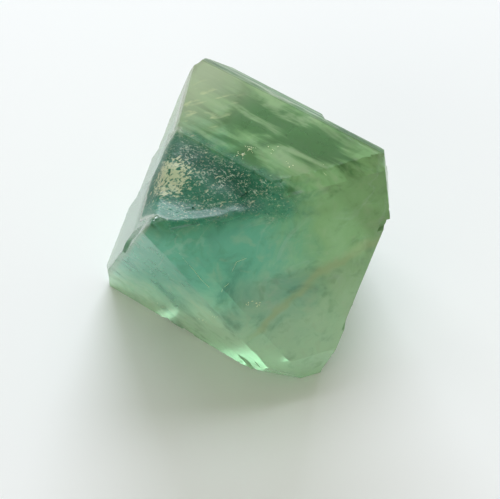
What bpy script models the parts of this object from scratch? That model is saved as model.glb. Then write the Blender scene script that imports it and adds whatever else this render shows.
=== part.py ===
"""Fluorite octahedron: one cleaved crystal that lies on one of its eight faces.

The crystal is a nearly regular octahedron. Every flat on it, except for a few
blunted corners and two bevelled edges, is parallel to one of the eight
octahedral planes, because fluorite splits along those. So each cut is written
as the faces that it is parallel to, with its depth under each, in millimetres.
Lengths are in millimetres until a mesh is made, and in metres from there.
"""

import itertools
import math
import random

import bmesh
import bpy
from mathutils import Matrix, Vector

# Driving dimensions, in millimetres and degrees.
MILLIMETRE = 0.001
EDGE_LENGTH = 26.0
MIDDLE_TO_FACE = EDGE_LENGTH / math.sqrt(6.0)
NEAR_CORNER_TURN = 231.5
BLANK_SIZE = 70.0
MERGE_DISTANCE = 1.0e-7
CRYSTAL_NAME = "fluorite_octahedron"

# The eight faces by their signs on the three corner-to-corner axes, and how much
# further out, or in, each one grew than on a regular octahedron of this edge.
FACE_SIGNS = {
    "top": (1, 1, -1),
    "front": (1, -1, -1),
    "under": (1, -1, 1),
    "left": (1, 1, 1),
    "back": (-1, 1, -1),
    "right": (-1, -1, -1),
    "rear": (-1, 1, 1),
    "base": (-1, -1, 1),
}
FACE_GROWTH = {
    "top": 0.19,
    "front": -0.26,
    "under": 0.28,
    "left": 0.84,
    "back": 0.45,
    "right": 0.30,
    "rear": 0.09,
    "base": 0.04,
}
OPPOSITE_FACE = {
    "top": "base",
    "front": "rear",
    "under": "back",
    "left": "right",
    "base": "top",
    "rear": "front",
    "back": "under",
    "right": "left",
}

# Fractures that follow no cleavage: which way each one faces, and its distance
# from the crystal's middle.
BLUNT_CUTS = {
    "edge bevel behind the top": ((0.400, 0.503, 0.766), 12.31),
    "ridge bevel on the left": ((-0.852, 0.127, 0.507), 11.95),
    "far tip, square to the edge": ((0.0, 0.970, 0.243), 14.55),
    "far tip, left of the edge": ((-0.700, 0.660, 0.272), 14.27),
    "right tip": ((0.990, 0.0, 0.120), 13.25),
    "near tip at the table": ((0.348, -0.883, -0.316), 14.43),
    "near tip, undercut": ((-0.193, -0.775, -0.601), 13.90),
    "left tip": ((-0.980, -0.180, -0.070), 14.85),
    "hidden tip": ((0.552, 0.702, -0.451), 16.20),
}

# Cleavage ledges. Each takes away what lies outside all of its planes, and each
# plane is so many millimetres inside the face that it is parallel to.
LEDGES = (
    {"back": 1.15, "right": 8.6, "top": 5.6},
    {"back": 0.45, "left": 8.5, "top": 9.0, "base": 16.5},
    {"left": 0.35, "back": 15.4},
    {"left": 0.62, "back": 10.8},
    {"left": 0.30, "under": 0.8, "front": 9.8},
    {"front": 0.5, "right": 0.8, "top": 6.6, "base": 15.7},
    {"right": 0.24, "base": 15.6, "top": 15.3, "front": 7.0},
    {"under": 0.10, "base": 2.6, "front": 3.4, "rear": 18.6},
    {"under": 0.32, "base": 1.8, "left": 24.5, "front": 5.6},
    {"top": 0.08, "back": 2.1, "right": 6.5},
    {"back": 0.40, "base": 8.2, "right": 13.0},
    {"back": 0.75, "base": 3.6, "left": 17.0},
    {"rear": 0.45, "left": 8.0, "top": 13.0},
    {"rear": 0.80, "base": 5.2, "back": 12.0},
    {"rear": 0.30, "top": 4.5, "left": 12.5},
    {"right": 0.55, "back": 5.0, "top": 15.0},
    {"right": 0.90, "back": 2.4, "base": 9.5},
)

# The broken hollow across the near top edge: the landings of its staircase.
HOLLOW_STEPS = (
    {"top": 0.45, "under": 11.0, "back": 19.8},
    {"top": 0.80, "under": 10.3, "back": 17.8, "front": 6.4},
    {"top": 1.15, "under": 9.8, "back": 16.3, "front": 3.9},
    {"top": 1.70, "under": 10.0, "back": 14.6, "front": 2.1},
    {"top": 2.45, "under": 10.5, "back": 13.2, "front": 0.9},
)

# Small splinter pits that roughen the hollow. They lie between these insets from
# the back and front faces, and go deeper towards the front, above all on the right.
PIT_COUNT = 150
PIT_WIDTH = (0.35, 1.1)
PIT_DEPTH = (0.10, 0.42)
PIT_BACK_RANGE = (12.2, 18.3)
PIT_FRONT_RANGE = (0.9, 8.9)
HOLLOW_SHALLOW = 0.40
HOLLOW_DEEP = 1.6
HOLLOW_LENGTH = 9.0

# Shell-shaped chips along the edges.
CHIPS_PER_EDGE = 4
CHIP_RADIUS = (0.9, 2.4)
CHIP_BITE = (0.08, 0.28)
CHIP_ROUNDNESS = 2
CHIP_MARGIN = 0.12
SEED = 26


def corner_axes():
    """Three unit vectors from the middle to the near, far and left corners."""
    radius = EDGE_LENGTH / math.sqrt(3.0)
    half_height = EDGE_LENGTH * math.sqrt(2.0 / 3.0) / 2.0
    corners = []
    for step in range(3):
        angle = math.radians(NEAR_CORNER_TURN - 120.0 * step)
        corners.append(Vector((radius * math.cos(angle), radius * math.sin(angle), half_height)))
    near, far, right = corners
    return near.normalized(), far.normalized(), -right.normalized()


AXES = corner_axes()


def face_direction(face):
    """The outward direction of a face."""
    direction = Vector((0.0, 0.0, 0.0))
    for sign, axis in zip(FACE_SIGNS[face], AXES):
        direction += sign * axis
    return direction.normalized()


def face_plane(face, inset=0.0):
    """The plane that lies inset millimetres inside a face, as direction and distance."""
    return face_direction(face), MIDDLE_TO_FACE + FACE_GROWTH[face] - inset


def cut_away(body, direction, distance):
    """Cut off what lies beyond a plane, and close the cut with one flat face."""
    geometry = body.verts[:] + body.edges[:] + body.faces[:]
    cut = bmesh.ops.bisect_plane(
        body,
        geom=geometry,
        plane_co=direction * (distance * MILLIMETRE),
        plane_no=direction,
        clear_outer=True,
    )
    rim = [item for item in cut["geom_cut"] if isinstance(item, bmesh.types.BMEdge)]
    if rim:
        bmesh.ops.edgeloop_fill(body, edges=rim)


def convex_body(planes):
    """A block bounded by the planes, as a bmesh."""
    body = bmesh.new()
    bmesh.ops.create_cube(body, size=BLANK_SIZE * MILLIMETRE)
    for direction, distance in planes:
        cut_away(body, direction, distance)
    bmesh.ops.recalc_face_normals(body, faces=body.faces)
    return body


def new_object(name, body):
    """Turn a bmesh into an object of the scene."""
    mesh = bpy.data.meshes.new(name)
    body.to_mesh(mesh)
    body.free()
    item = bpy.data.objects.new(name, mesh)
    bpy.context.scene.collection.objects.link(item)
    return item


def block_outside(cuts):
    """The block that a ledge takes away: all that lies outside each of its planes."""
    planes = []
    for face, inset in cuts.items():
        direction, distance = face_plane(face, inset)
        planes.append((-direction, -distance))
    return convex_body(planes)


def hollow_depth(back_inset, front_inset):
    """How deep the broken hollow is, at these distances inside the two faces."""
    nearness = max(0.0, 1.0 - front_inset / HOLLOW_LENGTH)
    low, high = PIT_BACK_RANGE
    rightness = (high - back_inset) / (high - low)
    return HOLLOW_SHALLOW + HOLLOW_DEEP * nearness * nearness * rightness


def slab_cuts(face, inset, width):
    """Both planes of a slab that starts inset inside a face and is width thick."""
    other = OPPOSITE_FACE[face]
    across = 2.0 * MIDDLE_TO_FACE + FACE_GROWTH[face] + FACE_GROWTH[other]
    return {face: inset + width, other: across - inset}


def pit_cuts(draw):
    """One splinter pit: a small slanted well with a floor parallel to the top face."""
    back_inset = draw.uniform(*PIT_BACK_RANGE)
    front_inset = draw.uniform(*PIT_FRONT_RANGE)
    cuts = {"top": hollow_depth(back_inset, front_inset) + draw.uniform(*PIT_DEPTH)}
    insets = {"back": back_inset, "front": front_inset}
    insets["left"] = left_inset(back_inset, front_inset)
    for face in draw.sample(sorted(insets), 2):
        cuts.update(slab_cuts(face, insets[face], draw.uniform(*PIT_WIDTH)))
    return cuts


def left_inset(back_inset, front_inset):
    """How far a point on the top face is inside the left face, from the other two."""
    faces = ("top", "back", "front")
    insets = (0.0, back_inset, front_inset)
    rows = [face_direction(face) for face in faces]
    distances = [face_plane(face, inset)[1] for face, inset in zip(faces, insets)]
    direction, distance = face_plane("left")
    return distance - direction.dot(Matrix(rows).inverted() @ Vector(distances))


def shared_corners(first, second):
    """The axes, with their signs, of the corners that two faces have in common."""
    signs = zip(FACE_SIGNS[first], FACE_SIGNS[second], AXES)
    return [axis * sign for sign, other, axis in signs if sign == other]


def edge_point(first, second, along):
    """A point on the edge between two faces, from 0 at one end to 1 at the other."""
    start, end = shared_corners(first, second)
    point = start.lerp(end, along) * (EDGE_LENGTH / math.sqrt(2.0))
    first_direction, first_distance = face_plane(first)
    second_direction, second_distance = face_plane(second)
    lean = first_direction.dot(second_direction)
    first_gap = first_distance - first_direction.dot(point)
    second_gap = second_distance - second_direction.dot(point)
    spread = 1.0 - lean * lean
    point += first_direction * ((first_gap - lean * second_gap) / spread)
    point += second_direction * ((second_gap - lean * first_gap) / spread)
    return point


def crystal_edges():
    """The twelve edges, each as the two faces that meet there."""
    pairs = itertools.combinations(FACE_SIGNS, 2)
    return [pair for pair in pairs if len(shared_corners(*pair)) == 2]


def edge_chip(draw, first, second):
    """A shell-shaped chip: a faceted ball that bites a little way into an edge."""
    along = draw.uniform(CHIP_MARGIN, 1.0 - CHIP_MARGIN)
    on_edge = edge_point(first, second, along)
    outwards = (face_direction(first) + face_direction(second)).normalized()
    radius = draw.uniform(*CHIP_RADIUS)
    middle = on_edge + outwards * (radius - draw.uniform(*CHIP_BITE))
    spin = Matrix.Rotation(draw.uniform(0.0, math.tau), 4, outwards)
    place = Matrix.Translation(middle * MILLIMETRE) @ spin
    body = bmesh.new()
    bmesh.ops.create_icosphere(
        body, subdivisions=CHIP_ROUNDNESS, radius=radius * MILLIMETRE, matrix=place
    )
    return body


def cutters():
    """Everything that is taken out of the crystal, in order."""
    draw = random.Random(SEED)
    bodies = [block_outside(cuts) for cuts in LEDGES + HOLLOW_STEPS]
    bodies += [block_outside(pit_cuts(draw)) for _ in range(PIT_COUNT)]
    for first, second in crystal_edges():
        bodies += [edge_chip(draw, first, second) for _ in range(CHIPS_PER_EDGE)]
    return [new_object("cutter_%03d" % number, body) for number, body in enumerate(bodies)]


def subtract(item, tools):
    """Take the tools out of an object with exact Booleans, then remove the tools."""
    for tool in tools:
        boolean = item.modifiers.new(tool.name, "BOOLEAN")
        boolean.operation = "DIFFERENCE"
        boolean.solver = "EXACT"
        boolean.object = tool
    evaluated = item.evaluated_get(bpy.context.evaluated_depsgraph_get())
    cut_mesh = bpy.data.meshes.new_from_object(evaluated)
    item.modifiers.clear()
    item.data = cut_mesh
    for tool in tools:
        bpy.data.objects.remove(tool)


def islands(body):
    """The connected groups of faces of a bmesh."""
    left = set(body.faces)
    groups = []
    while left:
        group = set()
        queue = [left.pop()]
        while queue:
            face = queue.pop()
            group.add(face)
            for edge in face.edges:
                for neighbour in edge.link_faces:
                    if neighbour in left:
                        left.remove(neighbour)
                        queue.append(neighbour)
        groups.append(group)
    return groups


def tidy(item):
    """Merge what coincides, drop splinters that came loose, and leave triangles."""
    body = bmesh.new()
    body.from_mesh(item.data)
    bmesh.ops.remove_doubles(body, verts=body.verts, dist=MERGE_DISTANCE)
    bmesh.ops.dissolve_degenerate(body, edges=body.edges, dist=MERGE_DISTANCE)
    groups = sorted(islands(body), key=len)
    for splinter in groups[:-1]:
        bmesh.ops.delete(body, geom=list(splinter), context="FACES")
    bmesh.ops.triangulate(body, faces=body.faces)
    body.to_mesh(item.data)
    body.free()


def stand_on_table(item):
    """Put the resting face at height zero and the middle of the outline at the origin."""
    points = [vertex.co for vertex in item.data.vertices]
    low = Vector([min(point[axis] for point in points) for axis in range(3)])
    high = Vector([max(point[axis] for point in points) for axis in range(3)])
    middle = (low + high) / 2.0
    item.data.transform(Matrix.Translation((-middle.x, -middle.y, -low.z)))


def fluorite_material():
    """Clear green fluorite: glassy, with the low refraction of the mineral."""
    material = bpy.data.materials.new("green_fluorite")
    material.use_nodes = True
    surface = material.node_tree.nodes["Principled BSDF"]
    surface.inputs["Base Color"].default_value = (0.13, 0.37, 0.23, 1.0)
    surface.inputs["Roughness"].default_value = 0.16
    surface.inputs["Metallic"].default_value = 0.0
    surface.inputs["IOR"].default_value = 1.434
    surface.inputs["Transmission Weight"].default_value = 0.7
    return material


def build_crystal():
    """The whole crystal: blank, blunted corners, ledges, hollow, pits and chips."""
    planes = [face_plane(face) for face in FACE_SIGNS]
    for direction, distance in BLUNT_CUTS.values():
        planes.append((Vector(direction).normalized(), distance))
    crystal = new_object(CRYSTAL_NAME, convex_body(planes))
    subtract(crystal, cutters())
    tidy(crystal)
    stand_on_table(crystal)
    crystal.data.materials.clear()
    crystal.data.materials.append(fluorite_material())
    return crystal


def clear_scene():
    """Remove the objects that the file opened with."""
    for item in list(bpy.data.objects):
        bpy.data.objects.remove(item, do_unlink=True)


clear_scene()
build_crystal()
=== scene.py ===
"""Looks of the fluorite octahedron: its fine relief, its clear green body and its light.

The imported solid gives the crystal's form. This script copies it, fills each flat
with a net of small triangles, gives that net the fine relief of cleaved and
broken fluorite, and makes the mineral's materials. Lengths are in metres unless
a name says mm.
"""

import math
import random

import bmesh
import bpy
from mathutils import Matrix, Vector
from mathutils.geometry import delaunay_2d_cdt
from mathutils.kdtree import KDTree


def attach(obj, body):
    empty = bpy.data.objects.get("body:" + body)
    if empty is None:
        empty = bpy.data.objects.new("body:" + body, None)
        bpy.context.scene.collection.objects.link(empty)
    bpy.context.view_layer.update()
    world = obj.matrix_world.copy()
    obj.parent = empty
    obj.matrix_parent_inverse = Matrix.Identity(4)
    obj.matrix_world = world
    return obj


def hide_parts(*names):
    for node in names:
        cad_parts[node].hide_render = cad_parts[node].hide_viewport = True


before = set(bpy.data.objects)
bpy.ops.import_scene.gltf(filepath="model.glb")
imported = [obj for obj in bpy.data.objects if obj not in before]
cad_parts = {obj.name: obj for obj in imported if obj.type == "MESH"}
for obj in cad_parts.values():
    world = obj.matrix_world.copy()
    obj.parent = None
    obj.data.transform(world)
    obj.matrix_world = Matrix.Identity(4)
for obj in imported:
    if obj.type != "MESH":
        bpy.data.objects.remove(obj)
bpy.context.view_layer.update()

MM = 0.001
NODE = "fluorite_octahedron"
SEED = 26

# The octahedron that the crystal grew as: each face by the signs of its three axes.
EDGE_LENGTH = 26.0 * MM
MIDDLE = Vector((1.07, -0.02, 10.65)) * MM
NEAR_CORNER_TURN = 231.5
FACE_SIGNS = {
    "top": (1, 1, -1),
    "front": (1, -1, -1),
    "under": (1, -1, 1),
    "left": (1, 1, 1),
    "back": (-1, 1, -1),
    "right": (-1, -1, -1),
    "rear": (-1, 1, 1),
    "base": (-1, -1, 1),
}

# The net of triangles that carries the fine relief.
MERGE_DISTANCE = 0.001 * MM
FLAT_ANGLE = math.radians(0.3)
FACE_NET = 0.34 * MM
HOLLOW_NET = 0.11 * MM
NET_JITTER = 0.14
NET_MARGIN = 0.6
ROW_RATIO = math.sqrt(3.0) / 2.0

# The broken hollow: from where to where its rough ground lies inside each face, in millimetres.
HOLLOW_INSETS = {"back": (10.6, 19.9), "front": (0.02, 10.8), "top": (0.30, 4.6), "left": (0.02, 19.0)}

# The fine relief. Terraces have levels, each a share of the terrace height above the last.
# The hollow's floor drops from a rear line to a front line, measured across its belt.
RIPPLE_DEPTH = 0.035 * MM
RIPPLE_LENGTH = 3.0 * MM
TERRACE_HEIGHT = 0.020 * MM
TERRACE_WIDTH = 1.6 * MM
TERRACE_LEVELS = 9.0
LEVEL_RISE = 0.25
SPLINTER_DEPTH = 0.11 * MM
SPLINTER_WIDTH = 0.30 * MM
HOLLOW_BORDER = 2.0 * MM
FLOOR_DROP = 0.70 * MM
FLOOR_REAR = -6.6 * MM
FLOOR_FRONT = -9.6 * MM
EDGE_WEAR = 0.08 * MM

# Edges that handling has rounded: the two faces, and how wide the rounding is in millimetres.
WORN_EDGES = (
    ("front", "under", 1.3),
    ("top", "front", 0.9),
    ("top", "left", 0.5),
    ("front", "left", 1.5),
)
EASING_STEPS = 70

# How much the hollow's border is eased, which edges count as sharp, and the height
# under which nothing sinks, so that the crystal still rests on its flat.
BORDER_EASING = 1.6
SHARP_ANGLE = math.radians(22.0)
RESTING_HEIGHT = 0.05 * MM

# Settings that many nodes share.
ADD = {"operation": "ADD"}
SUBTRACT = {"operation": "SUBTRACT"}
MULTIPLY = {"operation": "MULTIPLY"}
MULTIPLY_ADD = {"operation": "MULTIPLY_ADD"}
MAXIMUM = {"operation": "MAXIMUM"}
GREATER_THAN = {"operation": "GREATER_THAN"}
DOT_PRODUCT = {"operation": "DOT_PRODUCT"}
SCALE = {"operation": "SCALE"}
EASED = {"interpolation_type": "SMOOTHSTEP"}

# Fluorite: how it bends light, and how matt it is on its cleaved faces and where it is broken.
# Its sheen is a little below the real one, so that the window's reflection hides less of it.
FLUORITE_IOR = 1.434
FACE_SHEEN = 0.30
CLEARNESS = 0.50
FACE_ROUGHNESS = 0.20
BROKEN_ROUGHNESS = 0.50
CRACK_ROUGHNESS = 0.16
DEPTH_GREEN = "7cc49a"
DEPTH_DENSITY = 45.0

# The body's greens, with painted light among them: a glow towards the foot, a sheen on the left face and
# shade on the bevel behind the top.
TEAL = "72c5b0"
LEAF_GREEN = "a3ce91"
# Painted glow: the pale green of light that gathers in the crystal's foot.
PAINTED_FOOT_GLOW = "dcffda"
STREAK_GREEN = "3c703c"
PALE_GREEN = "cfd8ba"
DEEP_TEAL = "003d34"
VEIL_WHITE = "cfe3d6"
VEIN_CREAM = "cbd9a4"
GLOW_CREAM = "e3e8bd"
# Painted sheen of the steep left face, which mirrors the pale room at a grazing angle.
PAINTED_LEFT_SHEEN = "c3cfc2"
RIM_WHITE = "f2f6ee"
# Painted shade that dulls the bevel's reflection of the paper.
STRIP_SHADE_GREEN = "3f7449"

# The colours of the broken hollow, with painted shade for its lowest floor and painted white glints, and of
# cracks and flakes with air behind them.
HOLLOW_TEAL = "128c74"
FLOOR_SHADE_TEAL = "1c6450"
PAINTED_GLINT_WHITE = "d5e2d6"
CRUSHED_CREAM = "efedcd"
CRACK_WHITE = "dde3bc"

# Sizes of the body's patterns.
CLOUD_SIZE_MM = 5.0
MOTTLE_SIZE_MM = 1.5
LEFT_LINE_MM = 0.20
STRIP_LINE_MM = 0.6
STROKE_SIZE_MM = 0.7
SPARK_SIZE_MM = 0.13
GRAIN_SIZE_MM = 0.24

# Wisps inside: their size in millimetres, how wide each is in its pattern, and strength.
VEILS = ((6.0, 0.045, 0.22), (2.8, 0.020, 0.10))

# Growth streaks: lengthways squeeze, size in millimetres, detail, distortion and weight.
STREAKS = ((0.30, 2.4, 4.0, 0.8, 0.75), (0.12, 0.55, 3.0, 0.4, 0.25))

# Places and directions on the body, in millimetres from the crystal's middle.
TOP_LENGTHWAYS = (0.78, -0.62, 0.0)
TOP_CROSSWAYS = (0.62, 0.78, 0.0)
GLOW_PLACE = (-5.0, 4.6, 10.8)
GLOW_TURN = math.radians(22.0)
LEFT_LINE_DIRECTION = (-0.36, -0.45, -0.82)
STRIP_DIRECTION = (0.400, 0.503, 0.766)
STRIP_REACH_MM = 12.31
VEIN_HEIGHT_MM = -2.65
BELT_DIRECTION = (0.80, -0.60, 0.0)
BELT_CROSSWAYS = (0.60, 0.80, 0.0)
CRUSHED_PLACE = (-8.1, -4.1, 9.9)

# Hairline cracks: the face, and points in millimetres as on_face reads them.
HAIRLINE_CRACKS = (
    ("top", ((6.3, -3.5), (6.4, -4.6), (6.7, -4.9))),
    ("front", ((-0.7, 5.1), (-1.7, 5.0), (-2.1, 4.2))),
    ("front", ((-2.4, 3.2), (-3.0, 2.8), (-3.1, 2.4))),
    ("front", ((-7.0, 6.9), (-6.4, 5.9), (-5.7, 4.9), (-5.0, 3.8), (-4.3, 2.9))),
)
CRACK_WIDTH = 0.017 * MM
CRACK_SPACING = 0.12 * MM
CRACK_RAGGEDNESS = 0.10 * MM
CRACK_BEND = 0.9 * MM

# Lifted flakes: the face, the cluster's place as on_face reads it, their number,
# and how far they spread in millimetres.
FLAKE_CLUSTERS = (
    ("top", -0.6, -1.4, 16, 0.25),
    ("top", -1.3, -2.1, 14, 0.25),
    ("top", 1.6, -1.6, 5, 0.30),
    ("top", 3.1, -3.4, 4, 0.30),
    ("front", -0.4, 0.8, 4, 0.15),
    ("front", 0.2, 0.3, 5, 0.25),
    ("under", -9.0, -7.6, 4, 0.25),
    ("under", -4.9, -4.8, 5, 0.20),
    ("under", -3.7, -1.8, 5, 0.35),
)
FLAKE_WIDTH = 0.15 * MM
FLAKE_THICKNESS = 0.04 * MM
FLAKE_TILT = math.radians(20.0)
FLAKE_CORNERS = 5
SMALLEST_FLAKE = (0.35, 0.12, 0.6)
LARGEST_FLAKE = (1.0, 0.45, 1.0)

# The sheet of paper that it stands on.
PAPER_WHITE = "f5f7fa"
PAPER_ROUGHNESS = 0.9
PAPER_WIDTH = 1.2
PAPER_GAP = 0.02 * MM

# The photograph's view of it.
PHOTO_WIDTH = 500
PHOTO_HEIGHT = 499
SENSOR_WIDTH = 36.0
NEAREST_SEEN = 0.01
CAMERA_ELEVATION = 43.8
CAMERA_DISTANCE = 8.0 * EDGE_LENGTH
PIXELS_PER_EDGE = 267.4
MIDDLE_PIXEL = (255.0, 222.0)

# The room, and the lights in it: the direction from the crystal, the distance,
# the width and height, the power in watts and the colour.
ROOM_CREAM = "eee9d2"
ROOM_STRENGTH = 0.38
LIGHTS = (
    ("low_window", (0.0, 0.93, 0.36), 0.75, (0.50, 0.20), 5.6, "eff5ff"),
    ("high_window", (0.0, 0.36, 0.93), 0.60, (0.70, 0.24), 1.4, "f6faff"),
    ("pale_wall", (-0.45, -0.90, 0.25), 0.70, (0.60, 0.60), 1.6, "f4f2e4"),
)


def linear(hex_colour):
    """An sRGB hex colour as linear red, green, blue and full alpha."""
    channels = []
    for start in (0, 2, 4):
        value = int(hex_colour[start:start + 2], 16) / 255.0
        channels.append(value / 12.92 if value <= 0.04045 else ((value + 0.055) / 1.055) ** 2.4)
    return (*channels, 1.0)


def add_node(tree, kind, settings=None, inputs=None):
    """Add a node, set its properties, and link each of its inputs or give it a value."""
    node = tree.nodes.new(kind)
    for name, value in (settings or {}).items():
        setattr(node, name, value)
    for name, value in (inputs or {}).items():
        if isinstance(value, bpy.types.NodeSocket):
            tree.links.new(value, node.inputs[name])
        else:
            node.inputs[name].default_value = value
    return node


def new_object(name, mesh):
    """Put a mesh in the scene."""
    item = bpy.data.objects.new(name, mesh)
    bpy.context.scene.collection.objects.link(item)
    return item


def add_input(tree, name, kind, value=None):
    """Add a named input to a node tree."""
    socket = tree.interface.new_socket(name, in_out="INPUT", socket_type=kind)
    if value is not None:
        socket.default_value = value
    return socket


def finish_tree(tree, geometry, material, output_name):
    """End a tree: make the instances real, give them a material and put them out."""
    realized = add_node(
        tree, "GeometryNodeRealizeInstances", {}, {"Geometry": geometry}
    ).outputs["Geometry"]
    coloured = add_node(
        tree, "GeometryNodeSetMaterial", {}, {"Geometry": realized, "Material": material}
    ).outputs["Geometry"]
    add_node(tree, "NodeGroupOutput", {}, {output_name: coloured})


def settle(item, tree, material):
    """Run a tree on an object and keep the result as a plain mesh object of the same name."""
    modifier = item.modifiers.new(tree.name, "NODES")
    modifier.node_group = tree
    for socket in tree.interface.items_tree:
        if socket.name == "Material":
            modifier[socket.identifier] = material
    evaluated = item.evaluated_get(bpy.context.evaluated_depsgraph_get())
    mesh = bpy.data.meshes.new_from_object(evaluated)
    name = item.name
    bpy.data.objects.remove(item)
    return new_object(name, mesh)


def new_material(name):
    """An empty node material, with its output."""
    material = bpy.data.materials.new(name)
    material.use_nodes = True
    tree = material.node_tree
    tree.nodes.clear()
    output = add_node(tree, "ShaderNodeOutputMaterial")
    return material, tree, output


def crystal_axes():
    """Three unit vectors from the middle to the near, far and left corners."""
    radius = EDGE_LENGTH / math.sqrt(3.0)
    half_height = EDGE_LENGTH * math.sqrt(2.0 / 3.0) / 2.0
    corners = []
    for step in range(3):
        angle = math.radians(NEAR_CORNER_TURN - 120.0 * step)
        corners.append(Vector((radius * math.cos(angle), radius * math.sin(angle), half_height)))
    near, far, right = corners
    return near.normalized(), far.normalized(), -right.normalized()


AXES = crystal_axes()


def face_direction(face):
    """The outward direction of an octahedral face."""
    direction = Vector((0.0, 0.0, 0.0))
    for sign, axis in zip(FACE_SIGNS[face], AXES):
        direction += sign * axis
    return direction.normalized()


def face_reaches(mesh):
    """How far each octahedral face lies from the frame's origin."""
    reaches = {}
    for face in FACE_SIGNS:
        direction = face_direction(face)
        reaches[face] = max(direction.dot(vertex.co) for vertex in mesh.vertices)
    return reaches


REACHES = face_reaches(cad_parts[NODE].data)


def inset_mm(point, face):
    """How far inside an octahedral face a point lies, in millimetres."""
    return (REACHES[face] - face_direction(face).dot(point)) / MM


def face_reach_mm(face):
    """How far an octahedral face lies from the crystal's middle, in millimetres."""
    return (REACHES[face] - face_direction(face).dot(MIDDLE)) / MM


def in_hollow(point):
    """Whether a point lies in the broken hollow."""
    return all(low <= inset_mm(point, face) <= high for face, (low, high) in HOLLOW_INSETS.items())


def near_worn_edge(point):
    """Whether a point lies next to one of the edges that handling has rounded."""
    return any(
        max(inset_mm(point, first), inset_mm(point, second)) < width
        for first, second, width in WORN_EDGES
    )


def net_spacing(point):
    """The size of the net's triangles at a point."""
    return HOLLOW_NET if in_hollow(point) else FACE_NET


def merged_flats():
    """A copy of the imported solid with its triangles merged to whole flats."""
    body = bmesh.new()
    body.from_mesh(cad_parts[NODE].data)
    bmesh.ops.remove_doubles(body, verts=body.verts, dist=MERGE_DISTANCE)
    bmesh.ops.dissolve_limit(body, angle_limit=FLAT_ANGLE, verts=body.verts, edges=body.edges)
    return body


def split_edge(edge):
    """Put evenly spaced points on an edge."""
    start = edge.verts[0]
    middle = (edge.verts[0].co + edge.verts[1].co) / 2.0
    parts = max(1, round(edge.calc_length() / net_spacing(middle)))
    for part in range(parts, 1, -1):
        _, start = bmesh.utils.edge_split(edge, start, 1.0 / part)
        edge = max(start.link_edges, key=lambda item: item.calc_length())


def net_points(outline, spacing, draw):
    """Points in even rows over an outline's box, away from the outline's own points."""
    finder = KDTree(len(outline))
    for number, point in enumerate(outline):
        finder.insert((point.x, point.y, 0.0), number)
    finder.balance()
    low = Vector((min(point.x for point in outline), min(point.y for point in outline)))
    high = Vector((max(point.x for point in outline), max(point.y for point in outline)))
    points = []
    rows = int((high.y - low.y) / (spacing * ROW_RATIO)) + 1
    columns = int((high.x - low.x) / spacing) + 1
    for row in range(rows):
        for column in range(columns):
            x = low.x + spacing * (column + 0.5 * (row % 2) + draw.uniform(-NET_JITTER, NET_JITTER))
            y = low.y + spacing * ROW_RATIO * (row + 0.5 + draw.uniform(-NET_JITTER, NET_JITTER))
            if finder.find((x, y, 0.0))[2] > NET_MARGIN * spacing:
                points.append(Vector((x, y)))
    return points


def fill_flat(body, face, draw):
    """Replace a flat by a net of triangles, unless it is too narrow to hold one."""
    turn = face.normal.to_track_quat("Z", "Y").to_matrix().inverted()
    corners = list(face.verts)
    turned = [turn @ corner.co / MM for corner in corners]
    outline = [Vector((point.x, point.y)) for point in turned]
    height = sum(point.z for point in turned) / len(turned)
    spacing = net_spacing(face.calc_center_median()) / MM
    inner = net_points(outline, spacing, draw)
    count = len(outline)
    rim = [(number, (number + 1) % count) for number in range(count)]
    points, _, triangles, origins, _, _ = delaunay_2d_cdt(outline + inner, rim, [], 1, 1.0e-6)
    rim_kept = sorted(number for group in origins for number in group if number < count)
    if not triangles or rim_kept != list(range(count)) or any(not group for group in origins):
        return
    if any(len([number for number in group if number < count]) > 1 for group in origins):
        return
    used = {number for triangle in triangles for number in triangle}
    placed = {}
    for number in used:
        on_rim = [origin for origin in origins[number] if origin < count]
        if on_rim:
            placed[number] = corners[on_rim[0]]
        else:
            flat_point = Vector((points[number].x, points[number].y, height))
            placed[number] = body.verts.new(turn.inverted() @ flat_point * MM)
    body.faces.remove(face)
    for triangle in triangles:
        body.faces.new([placed[number] for number in triangle])


def net_mesh():
    """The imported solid's form as one closed net of small triangles."""
    draw = random.Random(SEED)
    body = merged_flats()
    for edge in list(body.edges):
        split_edge(edge)
    for face in list(body.faces):
        fill_flat(body, face, draw)
    bmesh.ops.triangulate(body, faces=[face for face in body.faces if len(face.verts) > 3])
    body.normal_update()
    mesh = bpy.data.meshes.new("crystal")
    body.to_mesh(mesh)
    body.free()
    return mesh


def hollow_shares(mesh):
    """How much each point belongs to the hollow, with a soft border of HOLLOW_BORDER either way."""
    inside = [in_hollow(vertex.co) for vertex in mesh.vertices]
    finders = {}
    for side in (True, False):
        finders[side] = KDTree(inside.count(side))
        for number, vertex in enumerate(mesh.vertices):
            if inside[number] is side:
                finders[side].insert(vertex.co, number)
        finders[side].balance()
    shares = []
    for vertex, within in zip(mesh.vertices, inside):
        lean = min(finders[not within].find(vertex.co)[2] / HOLLOW_BORDER, 1.0) / 2.0
        shares.append(0.5 + lean if within else 0.5 - lean)
    return shares


def mark_points(mesh):
    """Write to each point how much it belongs to the hollow, and to a worn edge."""
    broken = mesh.attributes.new("broken", "FLOAT", "POINT")
    broken.data.foreach_set("value", hollow_shares(mesh))
    worn = mesh.attributes.new("worn", "FLOAT", "POINT")
    worn.data.foreach_set("value", [float(near_worn_edge(vertex.co)) for vertex in mesh.vertices])


def long_edge_turn():
    """The angle of the long edge behind the top face, from far corner to right corner."""
    along = -AXES[2] - AXES[1]
    return math.atan2(along.y, along.x)


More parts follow.
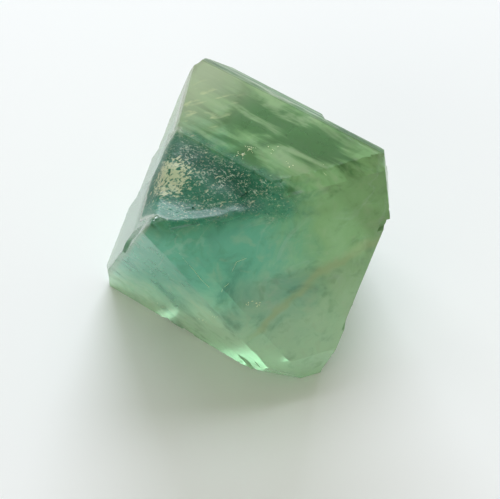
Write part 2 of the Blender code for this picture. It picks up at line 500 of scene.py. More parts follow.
def eased_place(tree, broken, worn):
    """The net's points, with the hollow's steps and the worn edges eased into slopes."""
    place = add_node(tree, "GeometryNodeInputPosition").outputs["Position"]
    fuller = add_node(tree, "ShaderNodeMath", MULTIPLY, {0: broken, 1: BORDER_EASING}).outputs[0]
    either = add_node(tree, "ShaderNodeMath", MAXIMUM, {0: fuller, 1: worn}).outputs[0]
    share = add_node(tree, "ShaderNodeMath", {"operation": "MINIMUM"}, {0: either, 1: 1.0}).outputs[0]
    blurred = add_node(
        tree,
        "GeometryNodeBlurAttribute",
        {"data_type": "FLOAT_VECTOR"},
        {"Value": place, "Iterations": EASING_STEPS, "Weight": share},
    ).outputs["Value"]
    return add_node(
        tree, "ShaderNodeMix", {"data_type": "VECTOR"}, {0: share, 4: place, 5: blurred}
    ).outputs[1]


def relief_pattern(tree, place, size, stretch, detail):
    """A soft random pattern with features of a size, stretched along the long edge behind the top."""
    turned = add_node(
        tree,
        "ShaderNodeVectorRotate",
        {"rotation_type": "Z_AXIS"},
        {"Vector": place, "Angle": -long_edge_turn()},
    ).outputs["Vector"]
    stretched = add_node(tree, "ShaderNodeVectorMath", MULTIPLY, {0: turned, 1: stretch}).outputs["Vector"]
    scale = add_node(tree, "ShaderNodeMath", {"operation": "DIVIDE"}, {0: 1.0, 1: size}).outputs[0]
    return add_node(
        tree, "ShaderNodeTexNoise", {}, {"Vector": stretched, "Scale": scale, "Detail": detail}
    ).outputs["Fac"]


def sharp_edges(tree):
    """1 on the edges where the surface turns sharply."""
    angle = add_node(tree, "GeometryNodeInputMeshEdgeAngle").outputs["Unsigned Angle"]
    return add_node(tree, "ShaderNodeMath", GREATER_THAN, {0: angle, 1: SHARP_ANGLE}).outputs[0]


def relief_depth(tree, inputs, place, broken):
    """How far each point sinks: ripples and terraces on the flats, splinters in the hollow."""
    ripple = relief_pattern(tree, place, inputs["Ripple length"], (0.35, 1.0, 1.0), 1.0)
    bands = relief_pattern(tree, place, inputs["Terrace width"], (0.12, 1.0, 0.6), 0.0)
    splinters = relief_pattern(tree, place, inputs["Splinter width"], (0.55, 1.0, 1.0), 3.0)
    nicks = relief_pattern(tree, place, inputs["Ripple length"], (1.0, 1.0, 1.0), 4.0)
    levels = add_node(tree, "ShaderNodeMath", MULTIPLY, {0: bands, 1: TERRACE_LEVELS}).outputs[0]
    steps = add_node(tree, "ShaderNodeMath", {"operation": "FLOOR"}, {0: levels}).outputs[0]
    rise = add_node(
        tree, "ShaderNodeMath", MULTIPLY, {0: inputs["Terrace height"], 1: LEVEL_RISE}
    ).outputs[0]
    ripple = add_node(tree, "ShaderNodeMath", MULTIPLY, {0: ripple, 1: inputs["Ripple depth"]}).outputs[0]
    flat = add_node(tree, "ShaderNodeMath", MULTIPLY_ADD, {0: steps, 1: rise, 2: ripple}).outputs[0]
    unbroken = add_node(tree, "ShaderNodeMath", SUBTRACT, {0: 1.0, 1: broken}).outputs[0]
    sunk = add_node(tree, "ShaderNodeMath", MULTIPLY, {0: flat, 1: unbroken}).outputs[0]
    for pattern, depth, share in (
        (splinters, inputs["Splinter depth"], broken),
        (nicks, inputs["Edge wear"], sharp_edges(tree)),
    ):
        part = add_node(tree, "ShaderNodeMath", MULTIPLY, {0: pattern, 1: depth}).outputs[0]
        sunk = add_node(tree, "ShaderNodeMath", MULTIPLY_ADD, {0: part, 1: share, 2: sunk}).outputs[0]
    height = add_node(tree, "ShaderNodeSeparateXYZ", {}, {"Vector": place}).outputs["Z"]
    clear = add_node(tree, "ShaderNodeMath", GREATER_THAN, {0: height, 1: RESTING_HEIGHT}).outputs[0]
    return add_node(tree, "ShaderNodeMath", MULTIPLY, {0: sunk, 1: clear}).outputs[0]


def floor_drop(tree, inputs, place, broken):
    """How far the hollow's floor drops towards the viewer, as an upright vector."""
    reach = add_node(
        tree, "ShaderNodeVectorMath", DOT_PRODUCT, {0: place, 1: BELT_CROSSWAYS}
    ).outputs["Value"]
    start = MIDDLE.dot(Vector(BELT_CROSSWAYS))
    across = add_node(tree, "ShaderNodeMath", SUBTRACT, {0: reach, 1: start}).outputs[0]
    slope = add_node(
        tree,
        "ShaderNodeMapRange",
        EASED,
        {
            "Value": across,
            "From Min": FLOOR_REAR,
            "From Max": FLOOR_FRONT,
            "To Max": inputs["Floor drop"],
        },
    ).outputs["Result"]
    drop = add_node(tree, "ShaderNodeMath", MULTIPLY, {0: slope, 1: broken}).outputs[0]
    return add_node(tree, "ShaderNodeCombineXYZ", {}, {"Z": drop}).outputs["Vector"]


def sharp_shading(tree, geometry):
    """Smooth shading that still breaks at the sharp edges."""
    smoothed = add_node(
        tree,
        "GeometryNodeSetShadeSmooth",
        {"domain": "FACE"},
        {"Geometry": geometry, "Shade Smooth": True},
    ).outputs["Geometry"]
    return add_node(
        tree,
        "GeometryNodeSetShadeSmooth",
        {"domain": "EDGE"},
        {"Geometry": smoothed, "Selection": sharp_edges(tree), "Shade Smooth": False},
    ).outputs["Geometry"]


def relief_tree():
    """Geometry nodes that sink fine relief into the net, and never raise it.

    Low terraces and ripples follow the long edge behind the top on the whole
    crystal. Splinters roughen the hollow, its steps are eased to slopes and its
    floor drops towards the viewer. The sharp edges are worn a little.
    """
    tree = bpy.data.node_groups.new("cleavage_relief", "GeometryNodeTree")
    add_input(tree, "Crystal", "NodeSocketGeometry")
    add_input(tree, "Ripple depth", "NodeSocketFloat", RIPPLE_DEPTH)
    add_input(tree, "Ripple length", "NodeSocketFloat", RIPPLE_LENGTH)
    add_input(tree, "Terrace height", "NodeSocketFloat", TERRACE_HEIGHT)
    add_input(tree, "Terrace width", "NodeSocketFloat", TERRACE_WIDTH)
    add_input(tree, "Splinter depth", "NodeSocketFloat", SPLINTER_DEPTH)
    add_input(tree, "Splinter width", "NodeSocketFloat", SPLINTER_WIDTH)
    add_input(tree, "Floor drop", "NodeSocketFloat", FLOOR_DROP)
    add_input(tree, "Edge wear", "NodeSocketFloat", EDGE_WEAR)
    add_input(tree, "Material", "NodeSocketMaterial")
    tree.interface.new_socket("Crystal", in_out="OUTPUT", socket_type="NodeSocketGeometry")
    inputs = add_node(tree, "NodeGroupInput").outputs
    broken = add_node(tree, "GeometryNodeInputNamedAttribute", {}, {"Name": "broken"}).outputs["Attribute"]
    worn = add_node(tree, "GeometryNodeInputNamedAttribute", {}, {"Name": "worn"}).outputs["Attribute"]
    eased = add_node(
        tree,
        "GeometryNodeSetPosition",
        {},
        {"Geometry": inputs["Crystal"], "Position": eased_place(tree, broken, worn)},
    ).outputs["Geometry"]
    place = add_node(tree, "GeometryNodeInputPosition").outputs["Position"]
    normal = add_node(tree, "GeometryNodeInputNormal").outputs["Normal"]
    depth = relief_depth(tree, inputs, place, broken)
    sunk = add_node(tree, "ShaderNodeVectorMath", SCALE, {0: normal, "Scale": depth}).outputs["Vector"]
    drop = floor_drop(tree, inputs, place, broken)
    lowered = add_node(tree, "ShaderNodeVectorMath", ADD, {0: sunk, 1: drop}).outputs["Vector"]
    offset = add_node(tree, "ShaderNodeVectorMath", SCALE, {0: lowered, "Scale": -1.0}).outputs["Vector"]
    moved = add_node(
        tree, "GeometryNodeSetPosition", {}, {"Geometry": eased, "Offset": offset}
    ).outputs["Geometry"]
    finish_tree(tree, sharp_shading(tree, moved), inputs["Material"], "Crystal")
    return tree


def millimetre_place(tree, turn=0.0, squeeze=1.0):
    """Object coordinates in millimetres from the crystal's middle, turned, then squeezed along x."""
    place = add_node(tree, "ShaderNodeTexCoord").outputs["Object"]
    for change in (
        {"Scale": (1.0 / MM, 1.0 / MM, 1.0 / MM), "Location": tuple(-MIDDLE / MM)},
        {"Rotation": (0.0, 0.0, -turn)},
        {"Scale": (squeeze, 1.0, 1.0)},
    ):
        place = add_node(tree, "ShaderNodeMapping", {}, {"Vector": place, **change}).outputs["Vector"]
    return place


def drawn_out_pattern(tree, turn, squeeze, size_mm, detail, distortion):
    """A random pattern with features of a size, drawn out along a turned direction."""
    place = millimetre_place(tree, turn, squeeze)
    return add_node(
        tree,
        "ShaderNodeTexNoise",
        {},
        {"Vector": place, "Scale": 1.0 / size_mm, "Detail": detail, "Distortion": distortion},
    ).outputs["Fac"]


def swing(tree, place, size_mm, detail, amount):
    """A random value around zero, over a range of that amount, with features of a size."""
    pattern = add_node(
        tree, "ShaderNodeTexNoise", {}, {"Vector": place, "Scale": 1.0 / size_mm, "Detail": detail}
    ).outputs["Fac"]
    return add_node(
        tree, "ShaderNodeMath", MULTIPLY_ADD, {0: pattern, 1: amount, 2: -amount / 2.0}
    ).outputs[0]


def patches(tree, place, size_mm, detail, distortion, low, high):
    """Random patches of a size: their pattern, eased from 0, at low, to 1, at high."""
    pattern = add_node(
        tree,
        "ShaderNodeTexNoise",
        {},
        {"Vector": place, "Scale": 1.0 / size_mm, "Detail": detail, "Distortion": distortion},
    ).outputs["Fac"]
    return add_node(
        tree, "ShaderNodeMapRange", EASED, {"Value": pattern, "From Min": low, "From Max": high}
    ).outputs["Result"]


def nearness(tree, value, middle, near, far):
    """1 where a value is within near of its middle, fading to 0 at far."""
    off = add_node(tree, "ShaderNodeMath", SUBTRACT, {0: value, 1: middle}).outputs[0]
    away = add_node(tree, "ShaderNodeMath", {"operation": "ABSOLUTE"}, {0: off}).outputs[0]
    return add_node(
        tree, "ShaderNodeMapRange", EASED, {"Value": away, "From Min": far, "From Max": near}
    ).outputs["Result"]


def near_along(tree, place, direction, middle, near, far):
    """1 where a place is within near of a middle along a direction, fading to 0 at far."""
    reach = add_node(tree, "ShaderNodeVectorMath", DOT_PRODUCT, {0: place, 1: direction}).outputs["Value"]
    return nearness(tree, reach, middle, near, far)


def near_point(tree, place, point, near, far):
    """1 where a place is within near of a point, fading to 0 at far."""
    away = add_node(
        tree, "ShaderNodeVectorMath", {"operation": "DISTANCE"}, {0: place, 1: point}
    ).outputs["Value"]
    return nearness(tree, away, 0.0, near, far)


def eased_along(tree, place, direction, low, high):
    """How far a place lies along a direction, eased from 0, at low, to 1, at high."""
    reach = add_node(tree, "ShaderNodeVectorMath", DOT_PRODUCT, {0: place, 1: direction}).outputs["Value"]
    return add_node(
        tree, "ShaderNodeMapRange", EASED, {"Value": reach, "From Min": low, "From Max": high}
    ).outputs["Result"]


def on_face_share(tree, place, face, start_mm, full_mm):
    """How near a place is to an octahedral face: 0 at start_mm inside it, and 1 at full_mm."""
    direction = tuple(face_direction(face))
    reach = face_reach_mm(face)
    return eased_along(tree, place, direction, reach - start_mm, reach - full_mm)


def lay_colour(tree, under, colour, strength, *shares):
    """Lay a colour over another, as strongly as its strength times every share that limits it."""
    factor = strength
    for share in shares:
        factor = add_node(tree, "ShaderNodeMath", MULTIPLY, {0: share, 1: factor}).outputs[0]
    return add_node(
        tree, "ShaderNodeMix", {"data_type": "RGBA"}, {0: factor, 6: under, 7: linear(colour)}
    ).outputs[2]


def lay_between(tree, under, colour, strength, level, low, high, *shares):
    """Lay a colour over another where a level has passed from low to high, within the shares."""
    passed = add_node(
        tree, "ShaderNodeMapRange", EASED, {"Value": level, "From Min": low, "From Max": high}
    ).outputs["Result"]
    return lay_colour(tree, under, colour, strength, passed, *shares)


def drifted(tree, place, direction, drift):
    """How far a place lies along a direction, with a random drift added."""
    reach = add_node(tree, "ShaderNodeVectorMath", DOT_PRODUCT, {0: place, 1: direction}).outputs["Value"]
    return add_node(tree, "ShaderNodeMath", ADD, {0: reach, 1: drift}).outputs[0]


def green_zones(tree, place):
    """Teal at the near left, yellower green towards the far right, and a painted glow, paler towards the
    foot, for light gathered in its lower edges.
    """
    clouds = add_node(
        tree,
        "ShaderNodeTexNoise",
        {},
        {"Vector": place, "Scale": 1.0 / CLOUD_SIZE_MM, "Detail": 8.0, "Roughness": 0.62, "Distortion": 0.7},
    ).outputs["Fac"]
    mottles = add_node(
        tree,
        "ShaderNodeTexNoise",
        {},
        {"Vector": place, "Scale": 1.0 / MOTTLE_SIZE_MM, "Detail": 6.0, "Distortion": 0.8},
    ).outputs["Fac"]
    drift = add_node(tree, "ShaderNodeMath", MULTIPLY_ADD, {0: clouds, 1: 1.5, 2: -0.75}).outputs[0]
    right = drifted(tree, place, (0.12, 0.12, 0.0), drift)
    # The foot is painted paler, as a glow of light gathered in its lower edges; less so at the left end.
    down = drifted(tree, place, (0.0, 0.0, -0.11), drift)
    left_end = eased_along(tree, place, (1.0, 0.0, 0.0), -3.0, -11.0)
    foot = add_node(tree, "ShaderNodeMath", MULTIPLY_ADD, {0: left_end, 1: -0.70, 2: down}).outputs[0]
    green = linear(TEAL)
    for level, low, high, colour, strength in (
        (right, -1.0, 0.0, LEAF_GREEN, 1.0),
        (foot, -0.70, 0.60, PAINTED_FOOT_GLOW, 0.9),
        (mottles, 0.52, 0.72, PALE_GREEN, 0.22),
        (mottles, 0.48, 0.28, STREAK_GREEN, 0.22),
        (clouds, 0.46, 0.30, DEEP_TEAL, 0.30),
    ):
        green = lay_between(tree, green, colour, strength, level, low, high)
    return green


def veils(tree, place, green):
    """Healed cracks inside the crystal: thin pale wisps that bend and cross."""
    where = patches(tree, place, 6.0, 1.0, 0.0, 0.42, 0.62)
    for size_mm, width, strength in VEILS:
        field = add_node(
            tree,
            "ShaderNodeTexNoise",
            {},
            {"Vector": place, "Scale": 1.0 / size_mm, "Detail": 4.0, "Distortion": 1.2},
        ).outputs["Fac"]
        wisp = nearness(tree, field, 0.5, 0.0, width)
        green = lay_colour(tree, green, VEIL_WHITE, strength, wisp, where)
    return green


def streak_pattern(tree):
    """Broad and fine growth streaks along the long edge behind the top."""
    streaks = 0.0
    for squeeze, size_mm, detail, distortion, weight in STREAKS:
        pattern = drawn_out_pattern(tree, long_edge_turn(), squeeze, size_mm, detail, distortion)
        streaks = add_node(
            tree, "ShaderNodeMath", MULTIPLY_ADD, {0: pattern, 1: weight, 2: streaks}
        ).outputs[0]
    return streaks


def top_streaks(tree, place, green):
    """Growth streaks under the top face, along its long edge, with a dark band and a pale corner."""
    streaks = streak_pattern(tree)
    upper = eased_along(tree, place, (0.0, 0.0, 1.0), 7.5, 10.4)
    band = add_node(
        tree,
        "ShaderNodeMath",
        MULTIPLY,
        {
            0: near_along(tree, place, TOP_CROSSWAYS, 2.9, 1.4, 3.8),
            1: near_along(tree, place, TOP_LENGTHWAYS, 1.2, 3.5, 8.0),
        },
    ).outputs[0]
    darkness = streaks
    for share, amount in (
        (band, 0.16),
        (eased_along(tree, place, TOP_CROSSWAYS, -1.0, -3.0), 0.12),
        (eased_along(tree, place, TOP_LENGTHWAYS, 6.5, 11.0), -0.04),
    ):
        darkness = add_node(
            tree, "ShaderNodeMath", MULTIPLY_ADD, {0: share, 1: amount, 2: darkness}
        ).outputs[0]
    pale_corner = eased_along(tree, place, (-0.74, 0.67, 0.0), 2.0, 10.0)
    green = lay_between(tree, green, STREAK_GREEN, 0.8, darkness, 0.44, 0.66, upper)
    green = lay_colour(tree, green, PALE_GREEN, 0.85, pale_corner, upper)
    return lay_between(tree, green, PALE_GREEN, 0.28, streaks, 0.47, 0.36, upper)


def corner_glows(tree, place, green):
    """Short cream strokes near the far corner of the top, where flakes inside catch the light."""
    strokes = drawn_out_pattern(tree, GLOW_TURN, 0.35, STROKE_SIZE_MM, 3.0, 0.4)
    zone = near_point(tree, place, GLOW_PLACE, 2.0, 5.0)
    return lay_between(tree, green, GLOW_CREAM, 0.9, strokes, 0.56, 0.74, zone)


def strip_share(tree, place):
    """How much a place belongs to the bevel behind the top face."""
    return eased_along(tree, place, STRIP_DIRECTION, STRIP_REACH_MM - 0.45, STRIP_REACH_MM - 0.10)


def dull_strip(tree, place, green):
    """The bevel behind the top face: painted shade, in lines along it, dulls the paper that it mirrors, with
    painted pale reflection lines between.
    """
    share = strip_share(tree, place)
    lines = drawn_out_pattern(tree, long_edge_turn(), 0.15, STRIP_LINE_MM, 3.0, 0.0)
    dark = add_node(
        tree,
        "ShaderNodeMapRange",
        EASED,
        {"Value": lines, "From Min": 0.38, "From Max": 0.62, "To Min": 0.35, "To Max": 0.80},
    ).outputs["Result"]
    # Painted shade in lines, then painted pale reflection lines between them.
    green = lay_colour(tree, green, STRIP_SHADE_GREEN, 1.0, dark, share)
    return lay_between(tree, green, RIM_WHITE, 0.5, lines, 0.46, 0.34, share)


def lengthwise(tree, place, direction, keep):
    """A place squeezed along a direction, so that a pattern on it is drawn out along it."""
    reach = add_node(tree, "ShaderNodeVectorMath", DOT_PRODUCT, {0: place, 1: direction}).outputs["Value"]
    shift = add_node(tree, "ShaderNodeMath", MULTIPLY, {0: reach, 1: keep - 1.0}).outputs[0]
    back_off = add_node(
        tree, "ShaderNodeVectorMath", SCALE, {0: direction, "Scale": shift}
    ).outputs["Vector"]
    return add_node(tree, "ShaderNodeVectorMath", ADD, {0: place, 1: back_off}).outputs["Vector"]


def brushed_left(tree, place, green):
    """The steep left face: a painted grey sheen for its grazing reflection, lined along its length by
    cleavage, and a whiter painted sheen at its near rim.

    The real lines are finer than a pixel, so they are drawn 0.2 mm apart.
    """
    on_left = on_face_share(tree, place, "left", 0.9, 0.25)
    drawn_out = lengthwise(tree, place, LEFT_LINE_DIRECTION, 0.06)
    lines = patches(tree, drawn_out, LEFT_LINE_MM, 3.0, 0.0, 0.48, 0.70)
    near_front = on_face_share(tree, place, "front", 1.3, 0.4)
    near_top = on_face_share(tree, place, "top", 3.0, 0.8)
    rim = add_node(tree, "ShaderNodeMath", MAXIMUM, {0: near_front, 1: near_top}).outputs[0]
    # Painted sheen: grey-white over the left face, and whiter at its near rim.
    green = lay_colour(tree, green, PAINTED_LEFT_SHEEN, 0.55, on_left)
    green = lay_colour(tree, green, STREAK_GREEN, 0.35, lines, on_left)
    return lay_colour(tree, green, RIM_WHITE, 0.75, rim, on_left)


def cream_vein(tree, place, green):
    """A thin cream vein that crosses the front of the crystal from low left to high right."""
    parts = add_node(tree, "ShaderNodeSeparateXYZ", {}, {"Vector": place}).outputs
    slope = add_node(
        tree, "ShaderNodeMath", MULTIPLY_ADD, {0: parts["X"], 1: -0.035, 2: 0.92}
    ).outputs[0]
    rise = add_node(tree, "ShaderNodeMath", MULTIPLY, {0: slope, 1: parts["X"]}).outputs[0]
    off = add_node(tree, "ShaderNodeMath", SUBTRACT, {0: parts["Z"], 1: rise}).outputs[0]
    wobble = swing(tree, place, 1.6, 3.0, 1.8)
    wandering = add_node(tree, "ShaderNodeMath", ADD, {0: off, 1: wobble}).outputs[0]
    line = nearness(tree, wandering, VEIN_HEIGHT_MM, 0.10, 0.90)
    front = eased_along(tree, place, (0.0, 1.0, 0.0), -4.0, -6.0)
    right = eased_along(tree, place, (1.0, 0.0, 0.0), -1.5, 1.0)
    return lay_colour(tree, green, VEIN_CREAM, 0.52, line, front, right)


def hollow_share(tree, place):
    """How much a place belongs to the hollow, with an uneven border."""
    broken = add_node(tree, "ShaderNodeAttribute", {"attribute_name": "broken"}).outputs["Fac"]
    uneven = swing(tree, place, 1.5, 4.0, 0.9)
    border = add_node(tree, "ShaderNodeMath", ADD, {0: broken, 1: uneven}).outputs[0]
    return add_node(
        tree, "ShaderNodeMapRange", EASED, {"Value": border, "From Min": 0.15, "From Max": 0.75}
    ).outputs["Result"]


def hollow_belt(tree, place):
    """The belt across the hollow that is painted darkest."""
    length = near_along(tree, place, BELT_DIRECTION, -1.2, 2.5, 7.5)
    width = near_along(tree, place, BELT_CROSSWAYS, -4.9, 0.3, 3.0)
    return add_node(tree, "ShaderNodeMath", MULTIPLY, {0: width, 1: length}).outputs[0]


def hollow_sparks(tree, place, green, broken, belt):
    """Painted glints, as pale sparks for splinters that catch the light, and dark splinters in the hollow.

    The real ones are finer than a pixel, so they are drawn about a pixel wide.
    """
    sparks = drawn_out_pattern(tree, long_edge_turn(), 0.55, SPARK_SIZE_MM, 3.0, 0.8)
    clustered = add_node(
        tree, "ShaderNodeMath", ADD, {0: sparks, 1: swing(tree, place, 1.1, 2.0, 0.35)}
    ).outputs[0]
    brightness = add_node(
        tree, "ShaderNodeMath", MULTIPLY_ADD, {0: belt, 1: 0.03, 2: clustered}
    ).outputs[0]
    # Pale sparks are painted glints; dark sparks are splinters.
    for level, low, high, colour, strength in (
        (brightness, 0.58, 0.72, PAINTED_GLINT_WHITE, 0.9),
        (sparks, 0.44, 0.32, DEEP_TEAL, 0.7),
    ):
        green = lay_between(tree, green, colour, strength, level, low, high, broken)
    return green


def crushed_cream(tree, place, green, broken):
    """The hollow's left end, crushed to cream grains."""
    grains = drawn_out_pattern(tree, GLOW_TURN, 0.6, GRAIN_SIZE_MM, 3.0, 0.8)
    zone = near_point(tree, place, CRUSHED_PLACE, 1.0, 3.2)
    density = add_node(tree, "ShaderNodeMath", MULTIPLY_ADD, {0: zone, 1: 0.24, 2: grains}).outputs[0]
    return lay_between(tree, green, CRUSHED_CREAM, 0.95, density, 0.60, 0.74, broken)


def broken_ground(tree, place, green):
    """The hollow's colours: a darker teal ground, painted shade on its lowest floor, painted glints among
    dark sparks, and crushed cream at its left end.
    """
    broken = hollow_share(tree, place)
    belt = add_node(
        tree, "ShaderNodeMath", MULTIPLY, {0: hollow_belt(tree, place), 1: broken}
    ).outputs[0]
    # Painted shade: the hollow's lowest floor, which faces the windows, is darkened.
    floor_shade = near_along(tree, place, BELT_CROSSWAYS, -8.4, 1.4, 2.8)
    green = lay_colour(tree, green, HOLLOW_TEAL, 0.75, broken)
    green = lay_colour(tree, green, DEEP_TEAL, 0.80, belt)
    green = lay_colour(tree, green, FLOOR_SHADE_TEAL, 0.6, floor_shade, broken)
    green = hollow_sparks(tree, place, green, broken, belt)
    return crushed_cream(tree, place, green, broken)


def left_rim(tree, place, green):
    """The hollow's left rim: a fine pale line where it meets the steep left face."""
    broken = add_node(tree, "ShaderNodeAttribute", {"attribute_name": "broken"}).outputs["Fac"]
    wobble = swing(tree, place, 0.6, 4.0, 0.30)
    border = add_node(tree, "ShaderNodeMath", ADD, {0: broken, 1: wobble}).outputs[0]
    line = nearness(tree, border, 0.44, 0.03, 0.13)
    beside = on_face_share(tree, place, "left", 1.8, 0.8)
    return lay_colour(tree, green, RIM_WHITE, 0.60, line, beside)


def body_colour(tree):
    """The crystal's green, with everything that varies it."""
    place = millimetre_place(tree)
    green = green_zones(tree, place)
    for look in (
        veils,
        top_streaks,
        corner_glows,
        dull_strip,
        brushed_left,
        cream_vein,
        broken_ground,
        left_rim,
    ):
        green = look(tree, place, green)
    return green


def roughness(tree):
    """Nearly glassy faces, matt broken ground, and a dull bevel behind the top."""
    broken = add_node(tree, "ShaderNodeAttribute", {"attribute_name": "broken"}).outputs["Fac"]
    share = add_node(
        tree, "ShaderNodeMapRange", EASED, {"Value": broken, "From Min": 0.2, "From Max": 0.8}
    ).outputs["Result"]
    added = add_node(
        tree, "ShaderNodeMath", MULTIPLY, {0: share, 1: BROKEN_ROUGHNESS - FACE_ROUGHNESS}
    ).outputs[0]
    ground = add_node(tree, "ShaderNodeMath", ADD, {0: added, 1: FACE_ROUGHNESS}).outputs[0]
    bevel = strip_share(tree, millimetre_place(tree))
    strip = add_node(tree, "ShaderNodeMath", MULTIPLY, {0: bevel, 1: BROKEN_ROUGHNESS}).outputs[0]
    return add_node(tree, "ShaderNodeMath", MAXIMUM, {0: ground, 1: strip}).outputs[0]


def cleaved_green_fluorite():
    """Green fluorite, cleaved and broken by hand.

    Glassy faces, hazy from fine veils inside, over a body that swallows red
    first. Where it is broken it is painted darker and is splintery, with painted white glints.
    """
    material, tree, output = new_material("cleaved_green_fluorite")
    surface = add_node(
        tree,
        "ShaderNodeBsdfPrincipled",
        {},
        {
            "Base Color": body_colour(tree),
            "Roughness": roughness(tree),
            "IOR": FLUORITE_IOR,
            "Specular IOR Level": FACE_SHEEN,
            "Transmission Weight": CLEARNESS,
        },
    )
    depth = add_node(
        tree,
        "ShaderNodeVolumeAbsorption",
        {},
        {"Color": linear(DEPTH_GREEN), "Density": DEPTH_DENSITY},
    )
    tree.links.new(surface.outputs["BSDF"], output.inputs["Surface"])
    tree.links.new(depth.outputs["Volume"], output.inputs["Volume"])
    return material


def bright_crack():
    """A crack or lifted flake in fluorite: air behind it turns the light back almost white."""
    material, tree, output = new_material("bright_fluorite_crack")
    surface = add_node(
        tree,
        "ShaderNodeBsdfPrincipled",
        {},
        {"Base Color": linear(CRACK_WHITE), "IOR": FLUORITE_IOR, "Roughness": CRACK_ROUGHNESS},
    )
    tree.links.new(surface.outputs["BSDF"], output.inputs["Surface"])
    return material


def paper():
    """White uncoated paper: matt, and a little cool."""
    material, tree, output = new_material("white_paper")
    surface = add_node(
        tree,
        "ShaderNodeBsdfPrincipled",
        {},
        {"Base Color": linear(PAPER_WHITE), "Roughness": PAPER_ROUGHNESS},
    )
    tree.links.new(surface.outputs["BSDF"], output.inputs["Surface"])
    return material


def make_crystal():
    """The whole visible crystal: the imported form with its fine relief."""
    mesh = net_mesh()
    mark_points(mesh)
    return settle(new_object("crystal", mesh), relief_tree(), cleaved_green_fluorite())


def on_face(face, first, second):
    """A point on a face, from two of its millimetre places seen from the middle.

    These are x and y on the top face, and x and z on the steep ones.
    """
    direction = face_direction(face)
    reach = face_reach_mm(face)
    if face == "top":
        point = Vector((first, second, reach))
    else:
        depth = (reach - direction.x * first - direction.z * second) / direction.y
        point = Vector((first, depth, second))
    return MIDDLE + point * MM


def settled_point(crystal, point):
    """The point of the finished crystal's surface that is closest to a point."""
    return crystal.closest_point_on_mesh(point)[1]


def crack_paths(crystal):
    """The hairline cracks as a curve object, each through its own points on the crystal."""
    data = bpy.data.curves.new("crack_paths", "CURVE")
    data.dimensions = "3D"
    for face, places in HAIRLINE_CRACKS:
        path = data.splines.new("POLY")
        path.points.add(len(places) - 1)
        for point, (first, second) in zip(path.points, places):
            point.co = (*settled_point(crystal, on_face(face, first, second)), 1.0)
    return new_object("crack_lines", data)


def crack_tree():
    """Geometry nodes that turn each crack's path into a fine, slightly ragged line."""
    tree = bpy.data.node_groups.new("hairline_cracks", "GeometryNodeTree")
    add_input(tree, "Paths", "NodeSocketGeometry")
    add_input(tree, "Spacing", "NodeSocketFloat", CRACK_SPACING)
    add_input(tree, "Raggedness", "NodeSocketFloat", CRACK_RAGGEDNESS)
    add_input(tree, "Width", "NodeSocketFloat", CRACK_WIDTH)
    add_input(tree, "Material", "NodeSocketMaterial")
    tree.interface.new_socket("Cracks", in_out="OUTPUT", socket_type="NodeSocketGeometry")
    inputs = add_node(tree, "NodeGroupInput").outputs
    close = add_node(
        tree,
        "GeometryNodeResampleCurve",
        {"mode": "LENGTH"},
        {"Curve": inputs["Paths"], "Length": inputs["Spacing"]},
    ).outputs["Curve"]
    place = add_node(tree, "GeometryNodeInputPosition").outputs["Position"]
    wander = add_node(
        tree, "ShaderNodeTexNoise", {}, {"Vector": place, "Scale": 1.0 / CRACK_BEND, "Detail": 2.0}
    ).outputs["Color"]
    centred = add_node(
        tree, "ShaderNodeVectorMath", SUBTRACT, {0: wander, 1: (0.5, 0.5, 0.5)}
    ).outputs["Vector"]
    offset = add_node(
        tree, "ShaderNodeVectorMath", SCALE, {0: centred, "Scale": inputs["Raggedness"]}
    ).outputs["Vector"]
    ragged = add_node(
        tree, "GeometryNodeSetPosition", {}, {"Geometry": close, "Offset": offset}
    ).outputs["Geometry"]
    profile = add_node(
        tree, "GeometryNodeCurvePrimitiveCircle", {}, {"Resolution": 4, "Radius": inputs["Width"]}
    ).outputs["Curve"]
    lines = add_node(
        tree,
        "GeometryNodeCurveToMesh",
        {},
        {"Curve": ragged, "Profile Curve": profile, "Fill Caps": True},
    ).outputs["Mesh"]
    finish_tree(tree, lines, inputs["Material"], "Cracks")
    return tree


def flake_spots(crystal):
    """Points on the faces where small flakes have lifted, with each face's direction."""
    draw = random.Random(SEED)
    places = []
    directions = []
    for face, first, second, count, spread in FLAKE_CLUSTERS:
        for _ in range(count):
            place = on_face(face, draw.gauss(first, spread), draw.gauss(second, spread))
            places.append(settled_point(crystal, place))
            directions.append(face_direction(face))
    mesh = bpy.data.meshes.new("flakes")
    mesh.from_pydata([tuple(place) for place in places], [], [])
    marks = mesh.attributes.new("outwards", "FLOAT_VECTOR", "POINT")
    marks.data.foreach_set("vector", [part for direction in directions for part in direction])
    return new_object("flakes", mesh)


def flake_turn(tree, inputs):
    """Each flake lies on its face, tilted a little either way and spun at random."""
    outwards = add_node(
        tree, "GeometryNodeInputNamedAttribute", {"data_type": "FLOAT_VECTOR"}, {"Name": "outwards"}
    ).outputs["Attribute"]
    flat = add_node(
        tree, "FunctionNodeAlignRotationToVector", {"axis": "Z"}, {"Vector": outwards}
    ).outputs["Rotation"]
    most = add_node(
        tree, "ShaderNodeCombineXYZ", {}, {"X": inputs["Tilt"], "Y": inputs["Tilt"], "Z": math.pi}
    ).outputs["Vector"]
    least = add_node(tree, "ShaderNodeVectorMath", SCALE, {0: most, "Scale": -1.0}).outputs["Vector"]
    turn = add_node(
        tree,
        "FunctionNodeRandomValue",
        {"data_type": "FLOAT_VECTOR"},
        {0: least, 1: most, "Seed": inputs["Seed"]},
    ).outputs[0]
    return add_node(
        tree,
        "FunctionNodeRotateRotation",
        {"rotation_space": "LOCAL"},
        {"Rotation": flat, "Rotate By": turn},
    ).outputs["Rotation"]


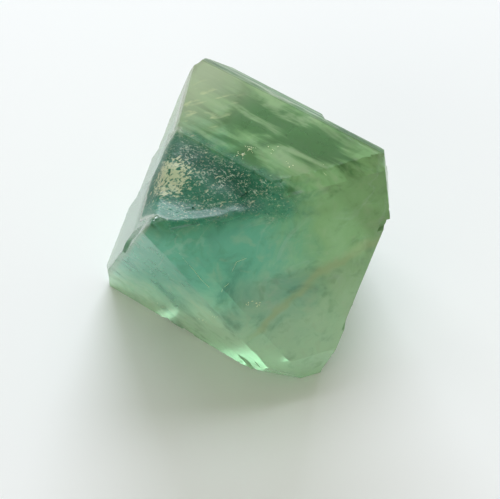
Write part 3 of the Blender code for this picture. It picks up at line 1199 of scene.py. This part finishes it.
def flake_tree():
    """Geometry nodes that set a thin tilted flake on each spot."""
    tree = bpy.data.node_groups.new("lifted_flakes", "GeometryNodeTree")
    add_input(tree, "Spots", "NodeSocketGeometry")
    add_input(tree, "Flake width", "NodeSocketFloat", FLAKE_WIDTH)
    add_input(tree, "Flake thickness", "NodeSocketFloat", FLAKE_THICKNESS)
    add_input(tree, "Tilt", "NodeSocketFloat", FLAKE_TILT)
    add_input(tree, "Seed", "NodeSocketInt", SEED)
    add_input(tree, "Material", "NodeSocketMaterial")
    tree.interface.new_socket("Flakes", in_out="OUTPUT", socket_type="NodeSocketGeometry")
    inputs = add_node(tree, "NodeGroupInput").outputs
    flake = add_node(
        tree,
        "GeometryNodeMeshCone",
        {},
        {
            "Vertices": FLAKE_CORNERS,
            "Radius Top": 0.0,
            "Radius Bottom": inputs["Flake width"],
            "Depth": inputs["Flake thickness"],
        },
    ).outputs["Mesh"]
    size = add_node(
        tree,
        "FunctionNodeRandomValue",
        {"data_type": "FLOAT_VECTOR"},
        {0: SMALLEST_FLAKE, 1: LARGEST_FLAKE, "Seed": inputs["Seed"]},
    ).outputs[0]
    placed = add_node(
        tree,
        "GeometryNodeInstanceOnPoints",
        {},
        {
            "Points": inputs["Spots"],
            "Instance": flake,
            "Rotation": flake_turn(tree, inputs),
            "Scale": size,
        },
    ).outputs["Instances"]
    finish_tree(tree, placed, inputs["Material"], "Flakes")
    return tree


def make_cracks_and_flakes(crystal):
    """The hairline cracks and the lifted flakes that catch the light."""
    material = bright_crack()
    cracks = settle(crack_paths(crystal), crack_tree(), material)
    flakes = settle(flake_spots(crystal), flake_tree(), material)
    return cracks, flakes


def make_floor():
    """A sheet of paper that fills the view."""
    half = PAPER_WIDTH / 2.0
    corners = ((-half, -half), (half, -half), (half, half), (-half, half))
    body = bmesh.new()
    body.faces.new([body.verts.new((x, y, -PAPER_GAP)) for x, y in corners])
    mesh = bpy.data.meshes.new("paper_sheet")
    body.to_mesh(mesh)
    body.free()
    mesh.materials.append(paper())
    return new_object("paper_sheet", mesh)


def camera_directions():
    """Right, up and backwards for the photograph's camera."""
    lift = math.radians(CAMERA_ELEVATION)
    back = Vector((0.0, -math.cos(lift), math.sin(lift)))
    right = Vector((1.0, 0.0, 0.0))
    return right, back.cross(right), back


def make_camera():
    """The photograph's camera, aimed so that the crystal's middle falls where it should."""
    right, up, back = camera_directions()
    focal_pixels = PIXELS_PER_EDGE * CAMERA_DISTANCE / EDGE_LENGTH
    pixel = CAMERA_DISTANCE / focal_pixels
    off_right = (PHOTO_WIDTH / 2.0 - MIDDLE_PIXEL[0]) * pixel
    off_up = (MIDDLE_PIXEL[1] - PHOTO_HEIGHT / 2.0) * pixel
    place = MIDDLE + back * CAMERA_DISTANCE
    aim = MIDDLE + right * off_right + up * off_up
    data = bpy.data.cameras.new("camera")
    data.sensor_width = SENSOR_WIDTH
    data.lens = focal_pixels / PHOTO_WIDTH * SENSOR_WIDTH
    data.clip_start = NEAREST_SEEN
    item = bpy.data.objects.new("camera", data)
    item.location = place
    item.rotation_euler = (aim - place).to_track_quat("-Z", "Y").to_euler()
    bpy.context.scene.collection.objects.link(item)
    bpy.context.scene.camera = item


def make_light(name, direction, distance, size, power, colour):
    """A soft light of a width and height that faces the crystal."""
    data = bpy.data.lights.new(name, "AREA")
    data.shape = "RECTANGLE"
    data.size, data.size_y = size
    data.energy = power
    data.color = linear(colour)[:3]
    item = bpy.data.objects.new(name, data)
    towards = Vector(direction).normalized()
    item.location = MIDDLE + towards * distance
    item.rotation_euler = towards.to_track_quat("Z", "Y").to_euler()
    bpy.context.scene.collection.objects.link(item)


def make_surroundings():
    """A pale room, a low window behind, a weaker high one, a pale wall, and the picture's tone."""
    world = bpy.data.worlds.new("pale_room")
    world.use_nodes = True
    tree = world.node_tree
    tree.nodes.clear()
    output = add_node(tree, "ShaderNodeOutputWorld")
    room = add_node(
        tree, "ShaderNodeBackground", {}, {"Color": linear(ROOM_CREAM), "Strength": ROOM_STRENGTH}
    )
    tree.links.new(room.outputs["Background"], output.inputs["Surface"])
    bpy.context.scene.world = world
    for light in LIGHTS:
        make_light(*light)
    bpy.context.scene.view_settings.view_transform = "Standard"


make_camera()
make_surroundings()
floor = make_floor()
crystal = make_crystal()
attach(crystal, "root")
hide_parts(NODE)
for piece in make_cracks_and_flakes(crystal):
    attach(piece, "root")
